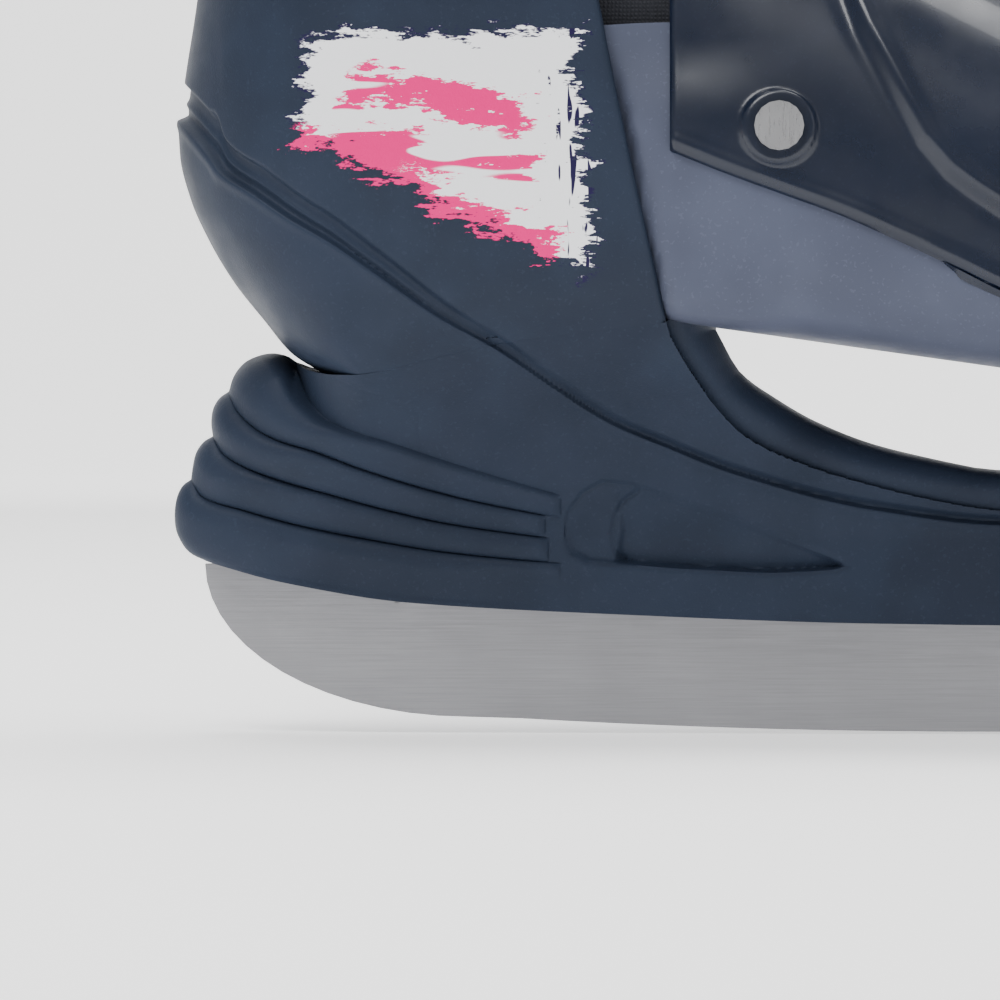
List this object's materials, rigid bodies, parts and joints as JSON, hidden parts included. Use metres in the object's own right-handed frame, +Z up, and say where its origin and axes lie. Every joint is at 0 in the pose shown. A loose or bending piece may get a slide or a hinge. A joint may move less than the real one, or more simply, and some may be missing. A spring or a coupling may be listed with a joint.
{
  "type": "ice skate",
  "caption": "Hard-shell adjustable ice skate: steel runner, ribbed holder, rear shell, sliding front shell, hinged cuff, ratchet buckles and padded liner.",
  "frame": {"origin": "lowest point of the runner, at the middle of its length and thickness", "axes": "+X towards the toe, -Y the outer side, +Z up"},
  "size_m": [0.2992, 0.1295, 0.2863],
  "materials": {
    "runner_steel": "ground sides, satin",
    "hardware_steel": "satin plated",
    "holder_plastic": "fine grain",
    "shell_plastic": "fine grain, printed splash",
    "panel_plastic": "satin",
    "gloss_plastic": "glossy",
    "liner_fabric": "woven, padded",
    "insole": "woven over a firm board",
    "strap_plastic": "moulded, ladder teeth",
    "button_plastic": "satin"
  },
  "bodies": {
    "chassis": {"blade": "runner_steel", "blade_holder": "holder_plastic", "blade_bolt_rear": "hardware_steel", "blade_bolt_front": "hardware_steel", "heel_shell": "shell_plastic", "holder_screw_lateral": "hardware_steel", "holder_screw_medial": "hardware_steel", "slide_bolt": "hardware_steel", "slide_washer": "hardware_steel", "cuff_rivet_lateral": "hardware_steel", "cuff_rivet_medial": "hardware_steel", "liner_heel": "liner_fabric", "footbed": "insole", "tongue_lower": "liner_fabric", "button_spring": "hardware_steel"},
    "front": {"toe_shell": "panel_plastic", "instep_cover": "gloss_plastic", "cover_rivet_lateral": "hardware_steel", "cover_rivet_medial": "hardware_steel", "liner_toe": "liner_fabric", "instep_buckle_base": "hardware_steel", "instep_buckle_pin": "hardware_steel", "instep_buckle_rivet": "hardware_steel", "instep_ladder_strap": "strap_plastic", "instep_strap_rivet": "hardware_steel"},
    "cuff": {"cuff": "shell_plastic", "liner_ankle": "liner_fabric", "tongue_upper": "liner_fabric", "cuff_buckle_base": "hardware_steel", "cuff_buckle_pin": "hardware_steel", "cuff_buckle_rivet": "hardware_steel", "cuff_ladder_strap": "strap_plastic", "cuff_strap_rivet": "hardware_steel"},
    "button": {"size_button": "button_plastic"},
    "cuff_lever": {"cuff_buckle_lever": "strap_plastic"},
    "cuff_pawl": {"cuff_buckle_pawl": "strap_plastic"},
    "instep_lever": {"instep_buckle_lever": "strap_plastic"},
    "instep_pawl": {"instep_buckle_pawl": "strap_plastic"}
  },
  "joints": [
    {"name": "cuff_pivot", "type": "hinge", "parent": "chassis", "child": "cuff", "pos_m": [-0.092, 0, 0.16], "axis": [0, 1, 0], "range_deg": [-8, 20]},
    {"name": "size_slide", "type": "slide", "parent": "chassis", "child": "front", "axis": [0.9903, 0, -0.1392], "range_m": [0, 0.02]},
    {"name": "size_button_press", "type": "slide", "parent": "chassis", "child": "button", "axis": [0, -1, 0], "range_m": [0, 0.0018], "stiffness_N_per_m": 1500, "deforming": ["button_spring"]},
    {"name": "cuff_lever_pin", "type": "hinge", "parent": "cuff", "child": "cuff_lever", "pos_m": [-0.078, -0.05239, 0.22532], "axis": [0, -0.0898, 0.996], "range_deg": [0, 100]},
    {"name": "cuff_pawl_pin", "type": "hinge", "parent": "cuff", "child": "cuff_pawl", "pos_m": [-0.092, -0.0501, 0.22552], "axis": [0, -0.0898, 0.996], "range_deg": [-12, 0], "stiffness_Nm_per_rad": 0.05},
    {"name": "instep_lever_pin", "type": "hinge", "parent": "front", "child": "instep_lever", "pos_m": [0.026, -0.05191, 0.12289], "axis": [-1, 0, 0], "range_deg": [0, 100]},
    {"name": "instep_pawl_pin", "type": "hinge", "parent": "front", "child": "instep_pawl", "pos_m": [0.026, -0.05484, 0.10901], "axis": [-1, 0, 0], "range_deg": [-12, 0], "stiffness_Nm_per_rad": 0.05}
  ]
}
